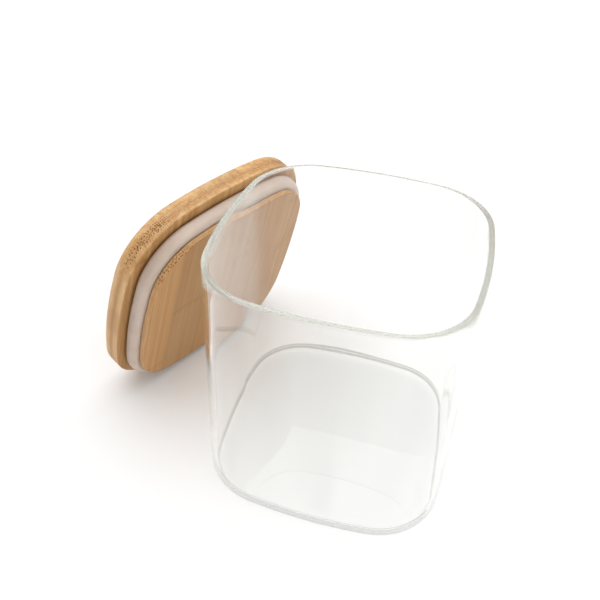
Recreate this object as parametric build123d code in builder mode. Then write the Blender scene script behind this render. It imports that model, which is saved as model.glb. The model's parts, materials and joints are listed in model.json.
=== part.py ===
"""Square glass food canister with a bamboo lid, in millimetres.

The jar is one piece of clear glass with softly bowed sides, and stands on the origin with +Z up.
The lid is milled from a block of three bamboo plies, each glued up from strips that run along the
lid's own Y. A silicone gasket sits in a groove round the plug. The lid is off the jar: it stands on
its lower edge beside the jar and leans on it, with its underside towards the glass.
"""

import os
from math import cos, radians, sin, sqrt

from build123d import *

# Jar
jar_side = 100.0  # outside width, from the middle of one side to the middle of the other
jar_height = 106.0
jar_corner_radius = 27.5
side_bow_radius = 190.0  # the sides aren't flat: each is an arc of this radius
wall = 2.3
floor_thickness = 4.5
foot_radius = 4.0  # outer edge at the bottom
inner_foot_radius = 1.0  # inside corner between wall and floor
rim_flat = 0.1  # what the fire-polished rim keeps flat at its top

# Lid, bamboo
lid_overhang = 2.8  # the board stands out past the jar by this much all round
board_thickness = 9.6
board_top_radius = 3.2
board_underside_radius = 0.5
plug_depth = 9.5  # how far the plug reaches below the board
plug_clearance = 1.9  # gap between the plug and the jar's inside
plug_edge_radius = 0.5
groove_height = 7.0  # the gasket's groove starts at the board's underside
groove_depth = 3.2
ply_thickness = 6.0  # the lower ply takes what the other two leave
strips_per_board = 5

# Gasket, silicone
gasket_height_clearance = 0.4  # above and below it in the groove
gasket_squeeze = 1.5  # it is wider than the jar's inside by this much on each side
gasket_lip_radius = 2.4

# How the lid stands beside the jar
lean_angle = radians(16.8)  # from upright, towards the jar
turn_angle = radians(-23.6)  # of the direction the lid faces, from the jar's own +X
lean_gap = 0.3  # between the lid and the glass
floor_gap = 0.02  # between the lid's lower edge and the surface that both stand on
approach_steps = 12  # each step moves the lid nearer to the glass by the gap that is left

board_half = jar_side / 2 + lid_overhang
inner_half = jar_side / 2 - wall
plug_half = inner_half - plug_clearance
groove_half = plug_half - groove_depth
gasket_half = inner_half + gasket_squeeze
strip_width = 2 * board_half / strips_per_board
strip_length = 3 * board_half  # of the block that cuts a strip out, longer than the lid


def bowed_square(half):
    """Outline whose sides bow out, half wide from its centre. All sizes are offsets of the jar's outline."""
    offset_out = half - jar_side / 2
    corner = jar_corner_radius + offset_out
    bow = side_bow_radius + offset_out
    side_centre = bow - half
    corner_centre = (sqrt(2 * (bow - corner) ** 2 - side_centre**2) - side_centre) / 2
    reach = bow / (bow - corner)
    far = (corner_centre + side_centre) * reach - side_centre
    near = corner_centre * reach
    tip = corner_centre + corner / sqrt(2)
    for turn in range(4):
        spin = Rotation(0, 0, 90 * turn)
        points = [(spin * Pos(x, y)).position for x, y in
                  [(far, -near), (half, 0), (far, near), (tip, tip), (near, far)]]
        ThreePointArc(points[0], points[1], points[2])
        ThreePointArc(points[2], points[3], points[4])


def bowed_prism(plane, half, height, mode=Mode.ADD):
    """Prism of the bowed outline, standing on a plane."""
    with BuildSketch(plane) as outline:
        with BuildLine():
            bowed_square(half)
        make_face()
    extrude(outline.sketch, amount=height, mode=mode)


def save(part, name):
    """Labels a finished piece and writes it to its own file."""
    part.label = name
    export_step(part, f"parts/{name}.step")


os.makedirs("parts", exist_ok=True)

# Jar: walls, floor, rounded foot inside and out, and a rounded rim
with BuildPart() as hollow:
    bowed_prism(Plane.XY.offset(floor_thickness), inner_half, jar_height)
    fillet(hollow.edges().group_by(Axis.Z)[0], inner_foot_radius)
with BuildPart() as jar:
    bowed_prism(Plane.XY, jar_side / 2, jar_height)
    fillet(jar.edges().group_by(Axis.Z)[0], foot_radius)
    add(hollow.part, mode=Mode.SUBTRACT)
    fillet(jar.edges().group_by(Axis.Z)[-1], (wall - rim_flat) / 2)
save(jar.part, "glass_jar")

# Lid block in its own frame: the board's underside lies on XY and the plug hangs below it
with BuildPart() as lid_block:
    bowed_prism(Plane.XY, board_half, board_thickness)
    fillet(lid_block.edges().group_by(Axis.Z)[-1], board_top_radius)
    fillet(lid_block.edges().group_by(Axis.Z)[0], board_underside_radius)
    bowed_prism(Plane.XY.offset(-groove_height), groove_half, groove_height)
    bowed_prism(Plane.XY.offset(-plug_depth), plug_half, plug_depth - groove_height)
    fillet(lid_block.edges().group_by(Axis.Z)[0], plug_edge_radius)


def leaning_plane(distance):
    """The lid's own XY plane when it leans, with its middle this far from the jar's axis."""
    away = Vector(-cos(turn_angle), -sin(turn_angle), 0)
    across = Vector(-sin(turn_angle), cos(turn_angle), 0)
    edge_to_middle = board_half - board_underside_radius
    height = (edge_to_middle * cos(lean_angle) - board_underside_radius * sin(lean_angle)
              + board_underside_radius + floor_gap)
    outward = away * cos(lean_angle) + Vector(0, 0, sin(lean_angle))
    return Plane(origin=away * distance + Vector(0, 0, height), x_dir=across, z_dir=outward)


# The lid starts well clear of the jar and comes up to the glass until only the gap is left
lid_distance = 2 * jar_side
for step in range(approach_steps):
    placed_block = lid_block.part.moved(leaning_plane(lid_distance).location)
    lid_distance -= placed_block.distance_to(jar.part) - lean_gap
lean = leaning_plane(lid_distance)
placed_block = lid_block.part.moved(lean.location)


def strip(name, low, high, left, right):
    """One bamboo strip: what the lid block has between two heights and two widths."""
    with BuildPart() as piece:
        add(placed_block)
        with BuildSketch(lean.offset(low)):
            with Locations(((left + right) / 2, 0)):
                Rectangle(right - left, strip_length)
        extrude(amount=high - low, mode=Mode.INTERSECT)
    save(piece.part, name)


# Three plies of strips. The middle ply's inner four make the neck that the gasket sits round, and its
# outer two only widen the board, so that its glue lines don't meet those of the other plies
upper_seam = board_thickness - ply_thickness
lower_seam = upper_seam - ply_thickness
even_seams = [(i - strips_per_board / 2) * strip_width for i in range(strips_per_board + 1)]
neck_seams = [share * groove_half for share in (-1, -0.5, 0, 0.5, 1)]
plies = {
    "upper": (upper_seam, board_thickness, even_seams),
    "middle": (lower_seam, upper_seam, [-board_half, *neck_seams, board_half]),
    "plug": (-plug_depth, lower_seam, even_seams),
}
for ply, (low, high, seams) in plies.items():
    for number, (left, right) in enumerate(zip(seams, seams[1:]), 1):
        strip(f"{ply}_strip_{number}", low, high, left, right)

# Gasket: a ring that fills the groove and stands out past the plug with a rounded lip
gasket_height = groove_height - 2 * gasket_height_clearance
with BuildPart() as gasket:
    bottom = lean.offset(gasket_height_clearance - groove_height)
    bowed_prism(bottom, gasket_half, gasket_height)
    fillet(gasket.edges(), gasket_lip_radius)
    bowed_prism(bottom, groove_half, gasket_height, mode=Mode.SUBTRACT)
save(gasket.part, "gasket")

# The lid tips away from the jar about a line along its lower edge, at half the board's thickness.
# The line is as high as it is far from the board's top, so a lid tipped right over lies on its top
tip_height = board_thickness / 2 + floor_gap
tip_rise = tip_height - floor_gap - board_underside_radius
tip_rise -= (board_thickness / 2 - board_underside_radius) * sin(lean_angle)
tip_inset = board_underside_radius + tip_rise / cos(lean_angle)  # from the lid's lower edge
tip_line = lean.from_local_coords((0, board_half - tip_inset, board_thickness / 2))

print("lid middle", lean.origin, "outward", lean.z_dir)
print("tip line through", tip_line, "along", -lean.x_dir)
print("gap to glass", placed_block.distance_to(jar.part), "gasket", gasket.part.distance_to(jar.part))
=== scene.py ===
"""Looks of a square glass canister and its bamboo lid, which leans on the jar. In metres."""

import json
from math import atan2, cos, pi, radians, sin, sqrt

import bmesh
import bpy
from mathutils import Matrix, Vector


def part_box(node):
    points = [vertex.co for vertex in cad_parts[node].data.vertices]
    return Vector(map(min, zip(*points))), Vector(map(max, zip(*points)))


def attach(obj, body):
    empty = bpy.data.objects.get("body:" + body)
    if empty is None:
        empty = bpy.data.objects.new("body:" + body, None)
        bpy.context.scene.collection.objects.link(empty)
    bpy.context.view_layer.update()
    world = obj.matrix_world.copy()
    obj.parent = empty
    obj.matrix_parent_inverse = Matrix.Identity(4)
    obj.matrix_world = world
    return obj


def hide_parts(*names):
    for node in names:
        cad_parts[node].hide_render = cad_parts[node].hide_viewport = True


MM = 0.001

# Camera, fitted to the view that the model is made for
LOOK_AT = Vector((-40.15, 39.7, 50.0)) * MM
CAMERA_AZIMUTH = 17.13  # degrees
CAMERA_ELEVATION = 37.37
CAMERA_ROLL = 1.13
CAMERA_DISTANCE = 342.9 * MM
CAMERA_LENS = 44.64  # mm, on a sensor 36 mm wide
CAMERA_SHIFT = (0.0352, -0.0417)

# Jar, as the CAD part has it
CORNER_RADIUS = 27.5 * MM
BOW_RADIUS = 190 * MM
WALL = 2.3 * MM
FLOOR_THICKNESS = 4.5 * MM
FOOT_RADIUS = 4 * MM
INNER_FOOT_RADIUS = 1 * MM

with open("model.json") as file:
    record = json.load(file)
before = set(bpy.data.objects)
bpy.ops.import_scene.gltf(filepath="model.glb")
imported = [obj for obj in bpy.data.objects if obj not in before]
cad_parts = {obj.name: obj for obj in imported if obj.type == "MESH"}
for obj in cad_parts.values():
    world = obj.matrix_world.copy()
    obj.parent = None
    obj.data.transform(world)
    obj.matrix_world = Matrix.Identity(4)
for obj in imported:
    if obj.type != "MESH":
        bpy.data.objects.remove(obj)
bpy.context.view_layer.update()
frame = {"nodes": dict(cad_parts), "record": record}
record = frame["record"]
nodes = frame["nodes"]
mounts = {mount["name"]: mount for mount in record["mounts"]}
jar_low, jar_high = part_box("glass_jar")
JAR_HALF = jar_high.x

# The lid's own axes: across its strips, along their grain, and out of its top
lid_middle = Vector(mounts["lid_seat"]["pos_m"])
outward = -Vector(mounts["lid_seat"]["axis"]).normalized()
across = outward.cross(Vector((0, 0, 1))).normalized()
along = outward.cross(across)


def lid_point(point):
    """A point in the lid's own axes, in metres."""
    offset = Vector(point) - lid_middle
    return Vector((offset.dot(across), offset.dot(along), offset.dot(outward)))


# ---- Shader helpers ----

def linear(red, green, blue):
    """Linear colour from screen values of 0 to 255."""
    channels = [c / 255 for c in (red, green, blue)]
    return tuple(c / 12.92 if c <= 0.04045 else ((c + 0.055) / 1.055) ** 2.4 for c in channels) + (1.0,)


def add_node(tree, kind, values=None, **settings):
    """New node; values go to its inputs, as links where they are sockets."""
    made = tree.nodes.new(kind)
    for name, setting in settings.items():
        setattr(made, name, setting)
    for key, value in (values or {}).items():
        if isinstance(value, bpy.types.NodeSocket):
            tree.links.new(value, made.inputs[key])
        else:
            made.inputs[key].default_value = value
    return made


def calc(tree, operation, *values):
    return add_node(tree, "ShaderNodeMath", dict(enumerate(values)), operation=operation).outputs[0]


def smooth_step(tree, value, low, high, to_low=0.0, to_high=1.0):
    values = {"Value": value, "From Min": low, "From Max": high, "To Min": to_low, "To Max": to_high}
    return add_node(tree, "ShaderNodeMapRange", values, interpolation_type="SMOOTHSTEP").outputs[0]


def vector_calc(tree, operation, first, second):
    return add_node(tree, "ShaderNodeVectorMath", {0: first, 1: second}, operation=operation).outputs[0]


def dot(tree, vector, direction):
    values = {0: vector, 1: direction}
    return add_node(tree, "ShaderNodeVectorMath", values, operation="DOT_PRODUCT").outputs["Value"]


def noise(tree, vector, density, shift=(0, 0, 0), detail=2.0, roughness=0.5, output=0):
    """Noise with this many cells per metre along each axis, shifted by a number of cells."""
    values = {"Vector": vector, "Scale": density, "Location": shift}
    place = add_node(tree, "ShaderNodeMapping", values).outputs[0]
    values = {"Vector": place, "Scale": 1.0, "Detail": detail, "Roughness": roughness}
    return add_node(tree, "ShaderNodeTexNoise", values).outputs[output]


def blend(tree, factor, first, second, mode="MIX"):
    values = {0: factor, 6: first, 7: second}
    return add_node(tree, "ShaderNodeMix", values, data_type="RGBA", blend_type=mode).outputs[2]


def bumped(tree, height, strength, distance):
    values = {"Height": height, "Strength": strength, "Distance": distance}
    return add_node(tree, "ShaderNodeBump", values).outputs[0]


def new_material(name):
    """Material with an empty tree; gives the tree and its output node."""
    material = bpy.data.materials.new(name)
    material.use_nodes = True
    material.node_tree.nodes.clear()
    return material, material.node_tree, material.node_tree.nodes.new("ShaderNodeOutputMaterial")


# ---- Bamboo ----

LIGHT_BAMBOO = linear(232, 194, 142)
DEEP_BAMBOO = linear(205, 158, 102)
BUNDLE_BROWN = linear(96, 58, 26)
SKIN_BROWN = linear(178, 124, 68)
GLUE_BROWN = linear(150, 104, 58)
NODE_BROWN = linear(160, 108, 62)
# Colour that the painted shade on the ledge round the plug multiplies by
PAINTED_LEDGE_SHADE = linear(212, 196, 172)

# Noise cells per metre: across the strips, along the grain, and through the ply
FIBRES = (2600, 22, 2600)
STREAKS = (420, 5, 420)
PATCHES = (60, 9, 60)
LAYERS = (45, 45, 1900)
SKIN_WAVES = (160, 12, 160)
BUNDLE_WAVES = (150, 20, 150)
NODE_WAVES = (500, 80, 500)

SKIN_SWAY = 2 * MM  # how far the cane's dense side wanders
BUNDLE_SWAY = 0.6 * MM
BUNDLE_COUNTS = ((0, 1100.0), (2, 1050.0))  # how many per metre, along the lid's first and third axes
NODE_REACH = (34 * MM, 12 * MM)  # a strip's node lies within their sum of the lid's middle
NODE_SWAY = 4 * MM
# Distances at which a mark has faded out, and at which it is full
NODE_EDGES = (2.2 * MM, 0.3 * MM)
GLUE_EDGES = (0.24 * MM, 0.06 * MM)
# The painted shade on the ledge fades out over these distances from the board's underside
LEDGE_SHADE_EDGES = (0.8 * MM, 0.1 * MM)
OUTER_REACH = 45 * MM  # a strip that reaches further from the lid's middle is an outermost one


def bundles(tree, grain, local, shift, skin_band, cut):
    """Marks of the cane's bundles: faint lines along the grain, and dots where the grain ends.

    The dots are fainter where the cut is square to the grain, as it is sanded smooth there."""
    end_grain = calc(tree, "MULTIPLY", smooth_step(tree, cut, 0.2, 0.6),
                     smooth_step(tree, cut, 0.88, 0.985, 1.0, 0.3))
    waves = grain(BUNDLE_WAVES, detail=1.0, output="Color")
    sway = add_node(tree, "ShaderNodeVectorMath", {0: waves, 3: BUNDLE_SWAY}, operation="SCALE").outputs[0]
    parts = add_node(tree, "ShaderNodeSeparateXYZ", {0: vector_calc(tree, "ADD", local, sway)}).outputs
    section = {}
    for socket, (axis, count) in enumerate(BUNDLE_COUNTS):
        section[socket] = calc(tree, "MULTIPLY_ADD", parts[axis], count, shift[axis])
    vector = add_node(tree, "ShaderNodeCombineXYZ", section).outputs[0]
    cells = add_node(tree, "ShaderNodeTexVoronoi", {"Vector": vector, "Scale": 1.0, "Randomness": 0.6},
                     feature="F1", voronoi_dimensions="2D")
    size = calc(tree, "MULTIPLY_ADD", skin_band, 0.12, 0.14)
    dots = smooth_step(tree, calc(tree, "SUBTRACT", cells.outputs["Distance"], size), 0.11, -0.05)
    depth = calc(tree, "MULTIPLY", dots, calc(tree, "MULTIPLY_ADD", skin_band, 0.8, 0.2))
    return calc(tree, "MULTIPLY", depth, calc(tree, "MULTIPLY_ADD", end_grain, 0.85, 0.13))


def cane_colour(tree, grain, streak, fine, skin_band, cut):
    """Streaks and patches, darker on the cane's dense side, with fine layers where the grain ends."""
    base = blend(tree, smooth_step(tree, streak, 0.32, 0.68), LIGHT_BAMBOO, DEEP_BAMBOO)
    patch = smooth_step(tree, grain(PATCHES), 0.35, 0.75, 0.0, 0.35)
    base = blend(tree, patch, base, DEEP_BAMBOO)
    base = blend(tree, calc(tree, "MULTIPLY", skin_band, 0.5), base, SKIN_BROWN)
    base = blend(tree, smooth_step(tree, fine, 0.45, 0.8, 0.0, 0.35), base, SKIN_BROWN)
    layers = smooth_step(tree, grain(LAYERS), 0.5, 0.72)
    layers = calc(tree, "MULTIPLY", layers, smooth_step(tree, cut, 0.8, 0.95))
    return blend(tree, calc(tree, "MULTIPLY", layers, 0.45), base, SKIN_BROWN)


def node_band(tree, grain, base, along_grain, seed):
    """Where the cane had a node, a band across the strip is darker."""
    middle = NODE_REACH[0] * sin(seed * 2.4) + NODE_REACH[1] * sin(seed * 7.7)
    place = calc(tree, "ADD", along_grain, calc(tree, "MULTIPLY_ADD", grain(NODE_WAVES), NODE_SWAY, middle))
    band = smooth_step(tree, calc(tree, "ABSOLUTE", place), *NODE_EDGES)
    return blend(tree, calc(tree, "MULTIPLY", band, 0.28), base, NODE_BROWN)


def glue_lines(tree, base, x, z, strip_low, strip_high):
    """Thin dark lines at the strip's own sides, fainter on an outermost strip."""
    gaps = [calc(tree, "SUBTRACT", strip_high.x, x), calc(tree, "SUBTRACT", x, strip_low.x),
            calc(tree, "SUBTRACT", strip_high.z, z), calc(tree, "SUBTRACT", z, strip_low.z)]
    edge = gaps[0]
    for gap in gaps[1:]:
        edge = calc(tree, "MINIMUM", edge, gap)
    inner = max(abs(strip_low.x), abs(strip_high.x)) < OUTER_REACH
    glue = calc(tree, "MULTIPLY", smooth_step(tree, edge, *GLUE_EDGES), 0.45 if inner else 0.2)
    return blend(tree, glue, base, GLUE_BROWN)


def bamboo(name, seed, tone, strip_low, strip_high, skin_up):
    """Solid bamboo texture of one strip: fibres and bundles run through it along the grain.

    strip_low and strip_high are the strip's corners in the lid's axes. The dense, dark side of the
    cane is the strip's upper face if skin_up is true, and else its lower one."""
    material, tree, output = new_material(name)
    texture = tree.nodes.new("ShaderNodeTexCoord").outputs
    place = vector_calc(tree, "SUBTRACT", texture["Object"], lid_middle)
    x, y, z = (dot(tree, place, axis) for axis in (across, along, outward))
    local = add_node(tree, "ShaderNodeCombineXYZ", {0: x, 1: y, 2: z}).outputs[0]
    cut = calc(tree, "ABSOLUTE", dot(tree, texture["Normal"], along))  # 1 where it is square to the grain
    shift = (seed * 3.7, seed * 1.3, seed * 5.1)

    def grain(density, **settings):
        return noise(tree, local, density, shift, **settings)

    # How near a point is to the cane's dense side, from 0 to 1
    wander = calc(tree, "MULTIPLY_ADD", grain(SKIN_WAVES), SKIN_SWAY, -SKIN_SWAY / 2)
    far_side, skin_side = (strip_low.z, strip_high.z) if skin_up else (strip_high.z, strip_low.z)
    values = {"Value": calc(tree, "ADD", z, wander), "From Min": far_side, "From Max": skin_side}
    skin_band = smooth_step(tree, add_node(tree, "ShaderNodeMapRange", values).outputs[0], 0.35, 0.9)

    fine = grain(FIBRES, detail=3.0)
    streak = grain(STREAKS, detail=3.0, roughness=0.55)
    bundle_mark = bundles(tree, grain, local, shift, skin_band, cut)
    base = cane_colour(tree, grain, streak, fine, skin_band, cut)
    base = blend(tree, bundle_mark, base, BUNDLE_BROWN)
    base = node_band(tree, grain, base, y, seed)
    base = glue_lines(tree, base, x, z, strip_low, strip_high)
    # Painted shade: the ledge round the plug, on the board's underside, is darkened as if shaded by the
    # gasket and plug beside it
    ledge_shade = smooth_step(tree, calc(tree, "ABSOLUTE", z), *LEDGE_SHADE_EDGES)
    base = blend(tree, calc(tree, "MULTIPLY", ledge_shade, 0.8), base, PAINTED_LEDGE_SHADE, "MULTIPLY")
    base = blend(tree, 1.0, base, tuple(tone) + (1.0,), "MULTIPLY")

    rough = calc(tree, "MULTIPLY_ADD", bundle_mark, 0.2, calc(tree, "MULTIPLY_ADD", streak, 0.22, 0.4))
    height = calc(tree, "MULTIPLY_ADD", bundle_mark, -0.7, calc(tree, "MULTIPLY", fine, 0.5))
    shader = add_node(tree, "ShaderNodeBsdfPrincipled", {
        "Base Color": base, "Roughness": rough, "Normal": bumped(tree, height, 0.35, 0.3 * MM), "IOR": 1.48,
        "Specular IOR Level": 0.4, "Coat Weight": 0.08, "Coat Roughness": 0.4})
    tree.links.new(shader.outputs[0], output.inputs["Surface"])
    return material


def finish_lid():
    """Each strip is cut from other cane, so its tone and pattern are its own."""
    strips = sorted(name for name in nodes if "_strip_" in name)
    for index, name in enumerate(strips):
        points = [lid_point(vertex.co) for vertex in nodes[name].data.vertices]
        low = Vector(min(p[i] for p in points) for i in range(3))
        high = Vector(max(p[i] for p in points) for i in range(3))
        light = 0.98 + 0.035 * sin(index * 2.3 + 0.6)
        warm = 0.02 * sin(index * 4.1 + 1.0)
        tone = (light + warm * 0.5, light, light - warm)
        skin_up = name.startswith("middle")
        cane = bamboo("bamboo_" + name, index + 1, tone, low, high, skin_up)
        nodes[name].material_slots[0].material = cane


# ---- Silicone ----

MILKY_SILICONE = linear(200, 184, 171)
DEEP_SILICONE = linear(192, 174, 159)
DUST = linear(215, 203, 192)
SILICONE_DEPTH = (4 * MM, 3.4 * MM, 2.8 * MM)  # how far red, green and blue light spread in it


def silicone():
    material, tree, output = new_material("silicone_ring")
    coordinates = tree.nodes.new("ShaderNodeTexCoord").outputs["Object"]
    cloud = noise(tree, coordinates, (90, 90, 90), detail=3.0)
    dust = noise(tree, coordinates, (2200, 2200, 2200), detail=1.0)
    colour = blend(tree, smooth_step(tree, cloud, 0.3, 0.7), MILKY_SILICONE, DEEP_SILICONE)
    colour = blend(tree, smooth_step(tree, dust, 0.68, 0.82, 0.0, 0.35), colour, DUST)
    rough = smooth_step(tree, cloud, 0.2, 0.8, 0.34, 0.5)
    shader = add_node(tree, "ShaderNodeBsdfPrincipled", {
        "Base Color": colour, "Roughness": rough, "Normal": bumped(tree, dust, 0.12, 0.2 * MM), "IOR": 1.42,
        "Subsurface Weight": 0.6, "Subsurface Radius": SILICONE_DEPTH, "Subsurface Scale": 1.0})
    tree.links.new(shader.outputs[0], output.inputs["Surface"])
    return material


# ---- Glass ----

GLASS_IOR = 1.47
SHADOW_TINT = (0.945, 0.95, 0.947, 1.0)
CLEAR_TINT = (0.995, 0.997, 0.994, 1.0)
STREAK_TINT = (0.947, 0.949, 0.945, 1.0)
# Grey of the painted shade line along the inside corner of wall and floor
PAINTED_HEEL_SHADE = linear(162, 164, 157)
BODY_COLOUR = (0.74, 0.75, 0.48, 1.0)  # of thick glass, seen along the wall
BODY_DENSITY = 1.9  # per metre
WAVES = (28, 28, 14)  # noise cells per metre, in the part's own axes
SMEARS = (45, 45, 30)
DRAWN_STREAKS = (38, 38, 5)
HEEL_SHADE_EDGES = (0.7 * MM, 0.3 * MM)
INWARD_LIMIT = -6 * MM  # place times normal is below this where a normal points to the middle


def painted_heel_shade(tree, coordinates, normal, height):
    """Painted shade: a fine grey line along the inside corner between wall and floor, where the normal
    points inwards, standing in for the dark outline that the curved glass shows there.
    """
    flat = vector_calc(tree, "MULTIPLY", coordinates, (1, 1, 0))
    inwards = calc(tree, "LESS_THAN", dot(tree, flat, normal), INWARD_LIMIT)
    above = calc(tree, "SUBTRACT", height, FLOOR_THICKNESS + INNER_FOOT_RADIUS / 2)
    line = smooth_step(tree, calc(tree, "ABSOLUTE", above), *HEEL_SHADE_EDGES)
    return calc(tree, "MULTIPLY", line, inwards)


def glass():
    """Clear glass. Lamps shine straight through it, with a little of their light lost."""
    material, tree, output = new_material("clear_glass")
    texture = tree.nodes.new("ShaderNodeTexCoord").outputs
    coordinates = texture["Object"]
    height = add_node(tree, "ShaderNodeSeparateXYZ", {0: coordinates}).outputs["Z"]
    under_rim = smooth_step(tree, height, jar_high.z - 4 * MM, jar_high.z - 10 * MM)
    on_wall = calc(tree, "MULTIPLY", under_rim, smooth_step(tree, height, 6 * MM, 12 * MM))
    off_edges = calc(tree, "MULTIPLY", under_rim, smooth_step(tree, height, 3 * MM, 4.3 * MM))

    wave_strength = calc(tree, "MULTIPLY", on_wall, 0.06)
    bump = bumped(tree, noise(tree, coordinates, WAVES, detail=1.0), wave_strength, 4 * MM)
    smear = smooth_step(tree, noise(tree, coordinates, SMEARS, detail=3.0), 0.45, 0.8, 0.0, 0.03)
    # The rim and the outer foot are a little rougher, so that light that runs along the wall spreads
    rough = calc(tree, "ADD", calc(tree, "MULTIPLY", smear, on_wall),
                 smooth_step(tree, off_edges, 1.0, 0.0, 0.0, 0.09))
    streaks = smooth_step(tree, noise(tree, coordinates, DRAWN_STREAKS), 0.4, 0.68)
    colour = blend(tree, calc(tree, "MULTIPLY", streaks, on_wall), CLEAR_TINT, STREAK_TINT)
    # Painted shade: a grey line along the inside corner between wall and floor
    colour = blend(tree, painted_heel_shade(tree, coordinates, texture["Normal"], height), colour, PAINTED_HEEL_SHADE)
    shader = add_node(tree, "ShaderNodeBsdfPrincipled", {
        "Base Color": colour, "Roughness": rough, "Normal": bump, "IOR": GLASS_IOR,
        "Transmission Weight": 1.0})

    passing = add_node(tree, "ShaderNodeBsdfTransparent", {"Color": SHADOW_TINT})
    path = tree.nodes.new("ShaderNodeLightPath")
    lamp_ray = calc(tree, "MAXIMUM", path.outputs["Is Shadow Ray"], path.outputs["Is Diffuse Ray"])
    mix = add_node(tree, "ShaderNodeMixShader", {0: lamp_ray, 1: shader.outputs[0], 2: passing.outputs[0]})
    tree.links.new(mix.outputs[0], output.inputs["Surface"])
    values = {"Color": BODY_COLOUR, "Density": BODY_DENSITY}
    absorb = add_node(tree, "ShaderNodeVolumeAbsorption", values)
    tree.links.new(absorb.outputs[0], output.inputs["Volume"])
    return material


SIDE_STEPS = 40
CORNER_STEPS = 48
WALL_STEPS = 12
FOOT_STEPS = 10
RIM_STEPS = 24
FLOOR_STEPS = 12
FLOOR_DOME = 0.25 * MM  # the floor's middle is this much higher than its edge


def bowed_outline(half):
    """Points of the outline whose sides and corners are arcs, half wide from its centre."""
    offset = half - JAR_HALF
    corner = CORNER_RADIUS + offset
    bow = BOW_RADIUS + offset
    side_centre = bow - half
    corner_centre = (sqrt(2 * (bow - corner) ** 2 - side_centre**2) - side_centre) / 2
    turn = atan2(corner_centre, corner_centre + side_centre)
    quarter = []
    for step in range(SIDE_STEPS):
        angle = -turn + 2 * turn * step / SIDE_STEPS
        quarter.append(Vector((bow * cos(angle) - side_centre, bow * sin(angle))))
    for step in range(CORNER_STEPS):
        angle = turn + (pi / 2 - 2 * turn) * step / CORNER_STEPS
        quarter.append(Vector((corner_centre + corner * cos(angle), corner_centre + corner * sin(angle))))
    return [Matrix.Rotation(pi / 2 * side, 2) @ point for side in range(4) for point in quarter]


def arc(centre, radius, start, end, steps):
    """Points of an arc in the wall's section, with angles in degrees."""
    angles = [radians(start + (end - start) * step / steps) for step in range(steps + 1)]
    return [(centre[0] + radius * cos(a), centre[1] + radius * sin(a)) for a in angles]


def straight(reach, start, end):
    """Points of an upright wall, between but not at its two end heights."""
    return [(reach, start + (end - start) * step / WALL_STEPS) for step in range(1, WALL_STEPS)]


def make_jar():
    """One closed skin of quads: the wall's section swept round the bowed outline."""
    rim = WALL / 2
    rim_low = jar_high.z - rim
    inner = JAR_HALF - WALL
    floor_high = FLOOR_THICKNESS + INNER_FOOT_RADIUS
    section = arc((JAR_HALF - FOOT_RADIUS, FOOT_RADIUS), FOOT_RADIUS, -90, 0, FOOT_STEPS)
    section += straight(JAR_HALF, FOOT_RADIUS, rim_low)
    section += arc((JAR_HALF - rim, rim_low), rim, 0, 180, RIM_STEPS)
    section += straight(inner, rim_low, floor_high)
    section += arc((inner - INNER_FOOT_RADIUS, floor_high), INNER_FOOT_RADIUS, 0, -90, FOOT_STEPS)
    mesh = bmesh.new()
    rings = [[mesh.verts.new((p.x, p.y, z)) for p in bowed_outline(reach)] for reach, z in section]
    for ring, next_ring in zip(rings, rings[1:]):
        bridge(mesh, ring, next_ring)
    cap(mesh, rings[0], 0.0)
    cap(mesh, rings[-1], FLOOR_DOME)
    bmesh.ops.recalc_face_normals(mesh, faces=mesh.faces)
    jar = finish_mesh(mesh, "glass_jar_skin", glass())
    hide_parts("glass_jar")
    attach(jar, "jar")


def bridge(mesh, ring, next_ring):
    """Quads between two rings of as many points."""
    for i, vertex in enumerate(ring):
        j = (i + 1) % len(ring)
        mesh.faces.new((vertex, ring[j], next_ring[j], next_ring[i]))


def cap(mesh, ring, dome):
    """Closes a ring with smaller copies of it, down to a point, and lifts the middle by the dome."""
    level = ring[0].co.z
    for step in range(1, FLOOR_STEPS):
        share = 1 - step / FLOOR_STEPS
        last_share = share + 1 / FLOOR_STEPS
        height = level + dome * (1 - share**2)
        smaller = [mesh.verts.new((v.co.x * share / last_share, v.co.y * share / last_share, height))
                   for v in ring]
        bridge(mesh, ring, smaller)
        ring = smaller
    middle = mesh.verts.new((0, 0, level + dome))
    for i, vertex in enumerate(ring):
        mesh.faces.new((vertex, ring[(i + 1) % len(ring)], middle))


def finish_mesh(mesh, name, material):
    data = bpy.data.meshes.new(name)
    mesh.to_mesh(data)
    mesh.free()
    data.materials.append(material)
    data.polygons.foreach_set("use_smooth", [True] * len(data.polygons))
    made = bpy.data.objects.new(name, data)
    bpy.context.scene.collection.objects.link(made)
    return made


# ---- Stage, lights and camera ----

FLOOR_REACH = 6.0
FLOOR_COLOURS = (linear(246, 245, 245), linear(249, 249, 249))
HORIZON = (0.4, 0.4, 0.41, 1)
OVERHEAD = (1, 1, 1, 1)
SKY_EDGES = (0.0, 0.6)  # sines of the elevations where the first tone ends and the second starts
SKY_STRENGTH = 0.73
SOFTBOX_PLACE = (-0.1, 0.3, 1.25)  # it looks straight down
SOFTBOX_SIZE = (1.9, 1.5)
SOFTBOX_WATTS = 11.8
FILL_PLACE = (0.9, -0.35, 0.28)
FILL_SIZE = (0.8, 0.5)
FILL_WATTS = 3.0
FILL_AIM = (-0.06, 0.03, 0.05)
MOST_BOUNCES = 96  # light that runs along inside the wall is reflected very often


def make_floor():
    material, tree, output = new_material("pale_floor")
    coordinates = tree.nodes.new("ShaderNodeTexCoord").outputs["Object"]
    colour = blend(tree, noise(tree, coordinates, (6, 6, 6)), *FLOOR_COLOURS)
    shader = add_node(tree, "ShaderNodeBsdfPrincipled", {"Base Color": colour, "Roughness": 0.6,
                                                         "Specular IOR Level": 0.2})
    tree.links.new(shader.outputs[0], output.inputs["Surface"])
    mesh = bmesh.new()
    bmesh.ops.create_grid(mesh, x_segments=2, y_segments=2, size=FLOOR_REACH)
    floor = finish_mesh(mesh, "floor", material)


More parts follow.
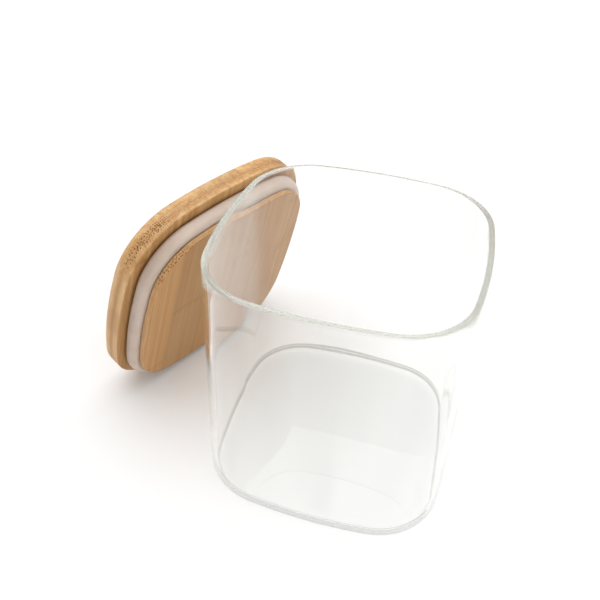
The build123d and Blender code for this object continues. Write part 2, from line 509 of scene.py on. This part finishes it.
def area_light(name, place, size, watts, aim):
    data = bpy.data.lights.new(name, "AREA")
    data.shape = "RECTANGLE"
    data.size, data.size_y = size
    data.energy = watts
    light = bpy.data.objects.new(name, data)
    light.location = place
    light.rotation_euler = (Vector(aim) - Vector(place)).to_track_quat("-Z", "Y").to_euler()
    bpy.context.scene.collection.objects.link(light)


def light_scene():
    world = bpy.data.worlds.new("studio")
    bpy.context.scene.world = world
    world.use_nodes = True
    tree = world.node_tree
    tree.nodes.clear()
    height = add_node(tree, "ShaderNodeSeparateXYZ", {
        0: tree.nodes.new("ShaderNodeTexCoord").outputs["Generated"]}).outputs["Z"]
    colour = blend(tree, smooth_step(tree, height, *SKY_EDGES), HORIZON, OVERHEAD)
    background = add_node(tree, "ShaderNodeBackground", {"Color": colour, "Strength": SKY_STRENGTH})
    output = tree.nodes.new("ShaderNodeOutputWorld")
    tree.links.new(background.outputs[0], output.inputs[0])
    area_light("softbox", SOFTBOX_PLACE, SOFTBOX_SIZE, SOFTBOX_WATTS, aim=(*SOFTBOX_PLACE[:2], 0.0))
    area_light("fill", FILL_PLACE, FILL_SIZE, FILL_WATTS, FILL_AIM)
    scene = bpy.context.scene
    scene.view_settings.view_transform = "Standard"
    cycles = scene.cycles
    cycles.max_bounces = cycles.transmission_bounces = cycles.glossy_bounces = MOST_BOUNCES


def make_camera():
    azimuth, elevation, roll = (radians(a) for a in (CAMERA_AZIMUTH, CAMERA_ELEVATION, CAMERA_ROLL))
    back = Vector((sin(azimuth) * cos(elevation), -cos(azimuth) * cos(elevation), sin(elevation)))
    level = Vector((cos(azimuth), sin(azimuth), 0))
    upright = back.cross(level)
    right = level * cos(roll) + upright * sin(roll)
    up = upright * cos(roll) - level * sin(roll)
    data = bpy.data.cameras.new("camera")
    data.lens = CAMERA_LENS
    data.sensor_width = 36
    data.shift_x, data.shift_y = CAMERA_SHIFT
    data.clip_start, data.clip_end = 0.01, 20
    camera = bpy.data.objects.new("camera", data)
    turn = Matrix((right, up, back)).transposed().to_4x4()
    camera.matrix_world = Matrix.Translation(LOOK_AT + back * CAMERA_DISTANCE) @ turn
    bpy.context.scene.collection.objects.link(camera)
    bpy.context.scene.camera = camera


make_camera()
light_scene()
make_floor()
make_jar()
finish_lid()
nodes["gasket"].material_slots[0].material = silicone()
